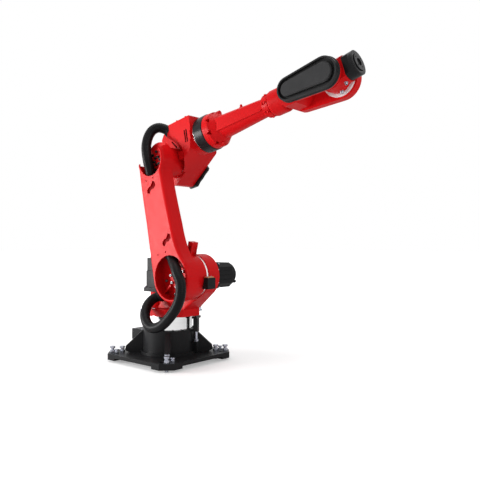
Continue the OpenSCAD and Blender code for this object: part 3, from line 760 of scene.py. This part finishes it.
@dataclass
class Conduit:
    """The cable conduit: a loop at the shoulder, a run inside the arm and a loop at the elbow."""

    radius: float = 0.024
    rib_pitch: float = 0.0075
    rib_height: float = 0.0009
    sides: int = 28
    low_end: int = 14
    high_start: int = 17
    steps_per_rib: int = 5
    route: Sequence[Triple] = (
        (0.013, -0.088, 0.316), (-0.004, -0.112, 0.300), (0.002, -0.148, 0.272), (0.030, -0.185, 0.236),
        (0.080, -0.212, 0.200), (0.130, -0.222, 0.187), (0.190, -0.226, 0.203), (0.246, -0.2278, 0.244),
        (0.292, -0.2278, 0.293), (0.318, -0.227, 0.348), (0.314, -0.222, 0.402), (0.284, -0.214, 0.444),
        (0.253, -0.196, 0.472), (0.217, -0.174, 0.492), (0.184, -0.157, 0.516), (0.140, -0.157, 0.560),
        (0.098, -0.157, 0.704), (0.055, -0.157, 0.850), (0.038, -0.161, 0.928), (0.026, -0.166, 0.983),
        (0.009, -0.160, 1.044), (0.004, -0.145, 1.095), (0.011, -0.125, 1.132), (0.028, -0.103, 1.148),
        (0.048, -0.084, 1.145), (0.066, -0.068, 1.133),
    )

    def line(self, first: int, last: int) -> list[Vector]:
        """Runs a smooth line through a stretch of the route.

        Args:
            first: Index of its first point.
            last: Index of its last point.

        Returns:
            Points about a fifth of a rib apart.
        """
        points = [Vector(p) for p in self.route]
        points = [2 * points[0] - points[1], *points, 2 * points[-1] - points[-2]]
        line: list[Vector] = []
        for k in range(first, last):
            a, b, c, d = points[k:k + 4]
            steps = max(2, round((c - b).length / (self.rib_pitch / self.steps_per_rib)))
            for i in range(steps):
                t = i / steps
                line.append(0.5 * (2 * b + (c - a) * t + (2 * a - 5 * b + 4 * c - d) * t * t
                                   + (3 * b - a - 3 * c + d) * t ** 3))
        line.append(points[last + 1].copy())
        return line

    def tube(self, name: str, line: Sequence[Vector], body: str | None) -> Object:
        """Makes a ribbed tube along a line.

        Args:
            name: The piece's name.
            line: Its centre line.
            body: The body that it rides on, or None where it runs between two.

        Returns:
            The object.
        """
        bm = bmesh.new()
        side = Vector(Axis.Y.value)
        run, rings = 0.0, []
        for k, point in enumerate(line):
            way = (line[min(k + 1, len(line) - 1)] - line[max(k - 1, 0)]).normalized()
            side = (side - way * side.dot(way)).normalized()
            up = way.cross(side)
            if k:
                run += (point - line[k - 1]).length
            wave = 0.5 - 0.5 * math.cos(2 * math.pi * run / self.rib_pitch)
            r = self.radius - self.rib_height * wave ** 2
            turns = [2 * math.pi * i / self.sides for i in range(self.sides)]
            rings.append([bm.verts.new(point + r * (math.cos(a) * side + math.sin(a) * up)) for a in turns])
        skin(bm, rings)
        return add_piece(name, bm, CONDUIT, body)

    def length(self, line: Sequence[Vector]) -> float:
        """Returns the length of a line."""
        return sum((b - a).length for a, b in zip(line, line[1:]))

    def build(self) -> None:
        """Lays the three stretches and logs the length of the two free ones."""
        low = self.line(0, self.low_end)
        inner = self.line(self.low_end, self.high_start)
        high = self.line(self.high_start, len(self.route) - 1)
        shoulder = self.tube("shoulder_conduit", low, None)
        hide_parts("lower_hose")
        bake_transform(shoulder)
        run = self.tube("inner_conduit", inner, "upper_arm")
        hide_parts("arm_conduit")
        elbow = self.tube("elbow_conduit", high, None)
        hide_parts("upper_hose")
        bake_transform(elbow)
        for piece, line in ((shoulder, low), (elbow, high)):
            length = self.length(line)
            log.info("%s is %.3f m long", piece.name, length)


def facing(place: Matrix, point: Sequence[float], way: Sequence[float]) -> Matrix:
    """Places something in a frame of the arm.

    Args:
        place: The frame.
        point: Where it goes in that frame, in metres.
        way: Where its z axis points in that frame.

    Returns:
        The matrix of its place.
    """
    return aimed(place @ Vector(point), place.to_3x3() @ Vector(way))


@dataclass
class Assembly(ABC):
    """A sub-assembly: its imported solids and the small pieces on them."""

    frames: Frames
    nodes: dict[str, Object]

    @abstractmethod
    def dress(self) -> None:
        """Finishes the sub-assembly's solids."""

    @abstractmethod
    def build(self) -> None:
        """Adds the sub-assembly's small pieces."""


@dataclass
class Base(Assembly):
    """The square base with its bolts, plugs and stop."""

    body: str = "base"
    rim: Circle = Circle(0.1235, 16, 11.25, height=0.152)
    lid_x: Sequence[float] = (-0.210, -0.156)
    lid_y: float = 0.048
    lid_z: float = 0.133
    plug: Plug = Plug(0.0145, 0.022)
    plug_at: Triple = (-0.214, 0.028, 0.0985)

    def dress(self) -> None:
        """Finishes the base's solids."""
        dress(self.nodes["base_casting"], BASE_BLACK, 3 * MM)
        dress(self.nodes["connector_box"], BASE_BLACK, 2.5 * MM)
        dress(self.nodes["j1_stop"], STOP_BLACK, 1.5 * MM)
        dress(self.nodes["j1_ring"], SILVER_Z, 1.2 * MM)
        for name in ("levelling_bolts", "pad_screws", "j1_stop_screw"):
            dress(self.nodes[name], ZINC, 0.8 * MM, segments=2)

    def build(self) -> None:
        """Adds the drum's screws, the box's lid screws and its two plugs."""
        add_screws("drum_screws", self.body, Screw(0.006, Head.BUTTON), self.rim.places(Matrix()), BASE_BLACK)
        lid = [Matrix.Translation((x, m * self.lid_y, self.lid_z)) for x in self.lid_x for m in (-1, 1)]
        add_screws("box_screws", self.body, Screw(0.005, Head.BUTTON), lid)
        bm = bmesh.new()
        x, y, z = self.plug_at
        for m in (-1, 1):
            self.plug.add(bm, aimed(Vector((x, m * y, z)), Vector((-1, 0, 0))))
        add_piece("base_plugs", bm, GLAND, self.body)


@dataclass
class Turret(Assembly):
    """The turning shoulder block with its two motors and the forward stop."""

    body: str = "turret"
    pocket_z: float = 0.244
    pockets: Sequence[tuple[float, float]] = ((0.128, 0.087), (-0.106, 0.087), (0.0, 0.098))
    j1_face: Triple = (-0.092, 0.0, 0.353)
    j1_screws: Circle = Circle(0.043 * math.sqrt(2), 4, 45)
    j1_plug: Plug = Plug(0.010, 0.030)
    j1_plug_at: Triple = (-0.092, 0.041, 0.476)
    j2_screws: Circle = Circle(0.0555 * math.sqrt(2), 4, 45, height=0.074)
    j2_plug: Plug = Plug(0.008, 0.016)
    j2_plug_at: Triple = (0.036, 0.211, -0.036)
    housing_screws: Circle = Circle(0.0975, 10, 18, height=0.030)
    stop_screws: Sequence[Triple] = ((0.124, -0.074, 0.004), (0.124, -0.048, 0.004))
    gland: Triple = (0.013, -0.088, 0.316)
    gland_way: Triple = (-0.64, -0.61, -0.46)
    ring_inner: float = 0.0300
    ring_outer: float = 0.0355
    ring_low: float = -0.030
    ring_high: float = -0.021
    nut_sides: int = 96
    nut_ridges: int = 16
    nut_ridge: float = 0.0012
    nut: Sequence[tuple[float, float, bool]] = (
        (0.0315, -0.0195, False), (0.0335, -0.0185, True), (0.0335, -0.0085, True), (0.0310, -0.0070, False),
    )

    def dress(self) -> None:
        """Finishes the turret's solids."""
        dress(self.nodes["turret_casting"], RED, 4 * MM)
        dress(self.nodes["j1_motor"], MOTOR_BLACK, 2.5 * MM)
        dress(self.nodes["j2_motor"], MOTOR_BLACK, 2.5 * MM)
        dress(self.nodes["j2_ring"], SILVER_Y, 0.8 * MM)
        dress(self.nodes["stop_block"], STOP_BLACK, 2 * MM)
        dress(self.nodes["stop_plate"], COPPER, 1 * MM)
        dress(self.nodes["lower_gland"], GLAND, 1.5 * MM)

    def build(self) -> None:
        """Adds the flange's bolts, the motors' screws and plugs, the stop's screws and the gland's ring and nut."""
        bolts = [Matrix.Translation((x, m * y, self.pocket_z)) for x, y in self.pockets for m in (-1, 1)]
        add_screws("flange_bolts", self.body, Screw(0.014, washer=True), bolts)
        shoulder = self.frames.at("j2_shoulder")
        behind = Matrix.Translation(shoulder) @ Matrix.Rotation(math.radians(-90), 4, "X")
        screws = self.j1_screws.places(Matrix.Translation(self.j1_face)) + self.j2_screws.places(behind)
        add_screws("motor_screws", self.body, Screw(0.007), screws)
        add_screws("housing_screws", self.body, Screw(0.007), self.housing_screws.places(behind))
        pad = [Matrix.Translation(shoulder + Vector(point)) for point in self.stop_screws]
        add_screws("stop_screws", self.body, Screw(0.004, Head.BUTTON), pad)
        bm = bmesh.new()
        left = Vector(Axis.Y.value)
        self.j1_plug.add(bm, aimed(Vector(self.j1_plug_at), left))
        self.j2_plug.add(bm, aimed(shoulder + Vector(self.j2_plug_at), left))
        add_piece("motor_plugs", bm, GLAND, self.body)
        place = aimed(Vector(self.gland), Vector(self.gland_way).normalized())
        bm = bmesh.new()
        hoop(bm, place, self.ring_inner, self.ring_outer, self.ring_low, self.ring_high)
        add_piece("gland_ring", bm, SILVER_Z, self.body)
        bm = bmesh.new()
        gripped(bm, place, self.nut, self.nut_sides, self.nut_ridges, self.nut_ridge)
        add_piece("gland_nut", bm, GLAND, self.body)


@dataclass
class UpperArm(Assembly):
    """The hollow arm casting and the joint faces that show in its openings.

    front, rear and roof are its wide faces. seat is the outline of a clamp seat's floor, which has a level and a growth
    at each of its seat_steps.
    """

    body: str = "upper_arm"
    plate: float = -0.130
    front: float = -0.192
    rear: float = -0.120
    roof: float = -0.184
    length: float = 0.573
    low_screws: Circle = Circle(0.0455, 8, 22.5, height=0.010)
    rim_screws: Circle = Circle(0.086, 12)
    rim_used: Sequence[int] = (0, 4, 6, 8, 10)
    top_screws: Circle = Circle(0.046, 10, 18, height=0.006)
    hub_screws: Circle = Circle(0.019, 6, height=0.010)
    seats: Sequence[tuple[float, float]] = ((-0.022, 0.4389), (0.020, 0.1719))
    seat_steps: Sequence[tuple[float, float]] = ((-0.1815, 1.02), (-0.1846, 1.02), (-0.1856, 0.96))
    seat: Sequence[tuple[float, float]] = (
        (-0.031, -0.016), (-0.017, -0.025), (-0.006, -0.012), (0.002, -0.007), (0.014, -0.008), (0.031, 0.002),
        (0.031, 0.021), (0.015, 0.030), (0.005, 0.017), (-0.002, 0.009), (-0.015, 0.008), (-0.030, -0.001),
    )

    def dress(self) -> None:
        """Finishes the upper arm's solids."""
        dress(self.nodes["upper_arm_casting"], RED, 2 * MM, sharp=60, flatten=False, plane=Axis.Y,
              wide=(WideFace(self.front, False), WideFace(self.rear, True), WideFace(self.roof, True)))
        dress(self.nodes["j2_reducer"], RED, 1 * MM)
        dress(self.nodes["j3_reducer"], RED, 1 * MM)

    def build(self) -> None:
        """Adds the screws that show in the arm's two openings and the floors of its two clamp seats, painted dark red
        as the recesses' shade.
        """
        arm = self.frames.upper_arm()
        out = Matrix.Rotation(math.radians(90), 4, "X")
        low = arm @ Matrix.Translation((0, self.plate, 0)) @ out
        rim = self.rim_screws.places(low)
        places = self.low_screws.places(low) + [rim[i] for i in self.rim_used]
        add_screws("shoulder_screws", self.body, Screw(0.009), places, OXIDE)
        top = arm @ Matrix.Translation((0, self.plate, self.length)) @ out
        places = self.top_screws.places(top) + self.hub_screws.places(top)
        add_screws("elbow_screws", self.body, Screw(0.0085), places, FLANGE_BLACK)
        bm = bmesh.new()
        for x, z in self.seats:
            skin(bm, [[bm.verts.new(arm @ Vector((x + grown * a, y, z + grown * b))) for a, b in self.seat]
                      for y, grown in self.seat_steps])
        # The seat floors carry painted shade: dark red standing for the shade inside the recesses
        add_piece("seat_floors", bm, POCKET_SHADE, self.body)


@dataclass
class Elbow(Assembly):
    """The elbow block with its cover and the root of the forearm's axis."""

    body: str = "elbow"
    top: float = 0.088
    side: float = 0.092
    cover: float = 0.108
    axis_height: float = 0.080
    boss: float = 0.022
    stud_x: Sequence[float] = (0.112, 0.172)
    stud_side: float = 0.084
    slots: Sequence[float] = (0.158, 0.170)
    slot_drop: float = 0.001
    slot_size: Triple = (0.063, 0.008, 0.003)
    slant: float = 53.0
    slant_at: tuple[float, float] = (0.017, 0.018)
    slant_gap: float = 0.008
    slant_size: Triple = (0.054, 0.008, 0.003)
    lip: float = 0.0008
    cover_screws: Sequence[tuple[float, float]] = (
        (0.084, -0.034), (0.066, -0.058), (0.040, -0.078), (0.006, -0.100), (-0.034, -0.100), (-0.054, -0.040),
        (-0.040, 0.010), (0.008, 0.028), (0.052, 0.004),
    )

    def dress(self) -> None:
        """Finishes the elbow's solids."""
        dress(self.nodes["elbow_casting"], RED, 4 * MM)
        dress(self.nodes["elbow_cover"], STOP_BLACK, 3 * MM)
        dress(self.nodes["elbow_gland"], GLAND, 1.5 * MM)
        dress(self.nodes["j3_ring"], SILVER_Y, 0.8 * MM)
        dress(self.nodes["j4_seal"], SILVER_X, 0.6 * MM)

    def build(self) -> None:
        """Adds the cover's screws, the studs on the block's top edge and near-black bars of painted shade in its slots.
        """
        fore = self.frames.forearm()
        places = [facing(fore, (x, self.cover, z - self.axis_height), (0, 1, 0)) for x, z in self.cover_screws]
        add_screws("cover_screws", self.body, Screw(0.006, Head.BUTTON), places)
        studs = [facing(fore, (x, m * self.stud_side, self.top), (0, 0, 1)) for x in self.stud_x for m in (-1, 1)]
        add_screws("elbow_studs", self.body, Screw(0.006), studs, RED)
        bm = bmesh.new()
        across = fore @ Matrix.Rotation(math.radians(90), 4, "X")
        upright = Matrix.Rotation(math.radians(90), 4, "Z")
        for x in self.slots:
            middle = Matrix.Translation((x, -self.slot_drop, self.side + self.lip))
            bar(bm, across @ middle @ upright, *self.slot_size)
        slant = across @ Matrix.Translation((*self.slant_at, self.boss + self.lip))
        slant = slant @ Matrix.Rotation(math.radians(-self.slant), 4, "Z")
        for y in (-self.slant_gap, self.slant_gap):
            bar(bm, slant @ Matrix.Translation((0, y, 0)), *self.slant_size)
        # These near-black bars are painted shade inside the slots
        add_piece("slot_shade_bars", bm, SLOT_SHADE, self.body)


@dataclass
class Forearm(Assembly):
    """The long tube, its root ring and the wrist's fork with the belt cover."""

    body: str = "forearm"
    tip_screws: Circle = Circle(0.0535, 8, height=-0.6135)
    ring_middle: float = 0.232
    ring_screws: Circle = Circle(0.087, 6, 30)
    reach: float = 0.928
    far_face: float = 0.088
    cap_sides: int = 72
    cap_screws: Circle = Circle(0.042, 6, 30, height=0.005)
    cap: Sequence[tuple[float, float]] = (
        (0.052, -0.002), (0.052, 0.0035), (0.0505, 0.005), (0.030, 0.005), (0.029, 0.003), (0.012, 0.003),
        (0.011, 0.0045), (0.004, 0.0045),
    )

    def dress(self) -> None:
        """Finishes the forearm's solids."""
        dress(self.nodes["j4_ring"], STOP_BLACK, 1.2 * MM)
        dress(self.nodes["forearm_tube"], RED, 1.6 * MM)
        dress(self.nodes["lifting_eye"], RED, 1 * MM)
        dress(self.nodes["wrist_housing"], RED, 4 * MM)
        dress(self.nodes["belt_cover"], COVER, 2.5 * MM)
        dress(self.nodes["cover_panel"], PANEL, 2 * MM)
        dress(self.nodes["j5_bearings"], SEAL, 0.8 * MM)

    def build(self) -> None:
        """Adds the tip flange's screws, the ring's set screws and the far cheek's cap."""
        fore = self.frames.forearm()
        back = fore @ Matrix.Rotation(math.radians(-90), 4, "Y")
        add_screws("tip_screws", self.body, Screw(0.006), self.tip_screws.places(back), RED)
        around = [Vector((0, math.cos(a), math.sin(a))) for a in self.ring_screws.turns()]
        middle = Vector((self.ring_middle, 0, 0))
        pins = [facing(fore, middle + self.ring_screws.radius * way, way) for way in around]
        add_screws("ring_screws", self.body, Screw(0.005, Head.BUTTON), pins, STOP_BLACK)
        face = facing(fore, (self.reach, self.far_face, 0), (0, 1, 0))
        bm = bmesh.new()
        lathe(bm, face, self.cap, self.cap_sides)
        add_piece("far_cap", bm, RED, self.body)
        add_screws("cap_screws", self.body, Screw(0.005), self.cap_screws.places(face))


@dataclass
class Wrist(Assembly):
    """The bending wrist and the tool flange."""

    body: str = "wrist"
    front: Circle = Circle(0.0425, 8, 22.5, height=0.1156)
    round_r: float = 0.056
    round_key: tuple[float, float] = (0.050, -0.012)
    cheek_key: Triple = (0.004, 0.027, -0.0608)
    cheek_way: Triple = (0.065, 0, -0.998)

    def dress(self) -> None:
        """Finishes the wrist's solids."""
        dress(self.nodes["wrist_body"], RED, 3 * MM)
        dress(self.nodes["j6_housing"], FLANGE_BLACK, 1.5 * MM)
        dress(self.nodes["tool_flange"], FLANGE_BLACK, 1 * MM)

    def build(self) -> None:
        """Adds the screws under the wrist and round the tool flange."""
        wrist = self.frames.wrist()
        x, y = self.round_key
        lean = y / self.round_r
        down = -math.sqrt(1 - lean ** 2)
        places = [facing(wrist, (x, y, self.round_r * down), (0, lean, down)),
                  facing(wrist, self.cheek_key, self.cheek_way)]
        add_screws("wrist_screws", self.body, Screw(0.008, washer=True), places)
        heads = self.front.places(wrist @ Matrix.Rotation(math.radians(90), 4, "Y"))
        add_screws("flange_screws", self.body, Screw(0.004, Head.BUTTON), heads, FLANGE_BLACK)


@dataclass(frozen=True)
class Lamp:
    """A soft square lamp: its place, the side of its face and its power in watts."""

    name: str
    place: Triple
    size: float
    power: float

    def hang(self, aim: Vector) -> None:
        """Hangs the lamp, turned towards a point.

        Args:
            aim: The point.
        """
        data = bpy.data.lights.new(self.name, "AREA")
        data.shape = "SQUARE"
        data.size = self.size
        data.energy = self.power
        lamp = bpy.data.objects.new(self.name, data)
        lamp.location = self.place
        lamp.rotation_euler = (aim - Vector(self.place)).to_track_quat("-Z", "Y").to_euler()
        bpy.context.scene.collection.objects.link(lamp)


@dataclass
class Studio:
    """The camera, the lamps, the pale floor and the white surroundings."""

    eye: Triple = (2.14257, -1.97088, 0.58893)
    yaw: float = 130.29
    pitch: float = 0.15
    lens: float = 42.556
    sensor: float = 36.0
    floor_z: float = -0.011
    floor_half: float = 30.0
    floor_shade: float = 0.86
    floor_roughness: float = 0.9
    floor_shine: float = 0.1
    glow_reach: tuple[float, float] = (0.5, 3.5)
    glow: tuple[float, float] = (0.34, 1.0)
    surround: tuple[float, float] = (0.45, 1.0)
    aim: Triple = (0.35, 0, 0.7)
    lamps: Sequence[Lamp] = (
        Lamp("key_lamp", (-2.0, -2.4, 0.75), 1.3, 105),
        Lamp("top_lamp", (0.4, -0.2, 4.2), 2.6, 52),
        Lamp("front_lamp", (3.6, -0.6, 1.6), 1.8, 25),
    )

    def build(self) -> None:
        """Sets up everything that isn't part of the arm."""
        self.camera()
        self.floor()
        self.surroundings()
        for lamp in self.lamps:
            lamp.hang(Vector(self.aim))
        bpy.context.scene.view_settings.view_transform = "Standard"

    def camera(self) -> None:
        """Places the camera where the photograph was taken from."""
        data = bpy.data.cameras.new("camera")
        data.lens = self.lens
        data.sensor_width = self.sensor
        camera = bpy.data.objects.new("camera", data)
        camera.location = self.eye
        camera.rotation_euler = (math.radians(90 + self.pitch), 0, math.radians(self.yaw - 90))
        bpy.context.scene.collection.objects.link(camera)
        bpy.context.scene.camera = camera

    def floor(self) -> None:
        """Lays a pale floor that keeps the arm's shadow and fades to white, to the eye only, away from it."""
        bm = bmesh.new()
        h = self.floor_half
        bm.faces.new([bm.verts.new((x * h, y * h, self.floor_z)) for x, y in ((-1, -1), (1, -1), (1, 1), (-1, 1))])
        mesh = bpy.data.meshes.new("floor")
        bm.to_mesh(mesh)
        bm.free()
        s = Shader("floor_paper")
        s.constants({"Base Color": (*[self.floor_shade] * 3, 1), "Roughness": self.floor_roughness,
                     "Specular IOR Level": self.floor_shine, "Emission Color": (1, 1, 1, 1)})
        place = add_node(s.tree, "ShaderNodeNewGeometry").outputs["Position"]
        away = add_node(s.tree, "ShaderNodeVectorMath", place, operation="LENGTH").outputs["Value"]
        fade = mapped(s.tree, away, self.glow_reach, self.glow)
        seen = add_node(s.tree, "ShaderNodeLightPath").outputs["Is Camera Ray"]
        s.tree.links.new(maths(s.tree, "MULTIPLY", seen, fade), s.surface.inputs["Emission Strength"])
        mesh.materials.append(s.material)
        floor = bpy.data.objects.new("floor", mesh)
        bpy.context.scene.collection.objects.link(floor)

    def surroundings(self) -> None:
        """Makes the surroundings white to the eye and in reflections, and softer as a light."""
        world = bpy.data.worlds.new("studio")
        bpy.context.scene.world = world
        world.use_nodes = True
        tree = world.node_tree
        background = tree.nodes["Background"]
        background.inputs["Color"].default_value = (1, 1, 1, 1)
        seen = add_node(tree, "ShaderNodeLightPath").outputs
        clear = maths(tree, "MAXIMUM", seen["Is Camera Ray"], seen["Is Glossy Ray"])
        clear = maths(tree, "MAXIMUM", clear, seen["Is Transmission Ray"])
        tree.links.new(mapped(tree, clear, (0.0, 1.0), self.surround), background.inputs["Strength"])


def main() -> None:
    """Builds the studio, the conduit and each sub-assembly in order."""
    logging.basicConfig(level=logging.INFO, format="%(name)s: %(message)s")
    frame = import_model()
    frames = Frames({joint["name"]: joint for joint in frame["joints"]})
    Studio().build()
    Conduit().build()
    for part in (Base, Turret, UpperArm, Elbow, Forearm, Wrist):
        assembly = part(frames, frame["nodes"])
        assembly.dress()
        assembly.build()
        log.info("%s done", part.__name__)
    bpy.context.view_layer.update()


if __name__ == "__main__":
    main()
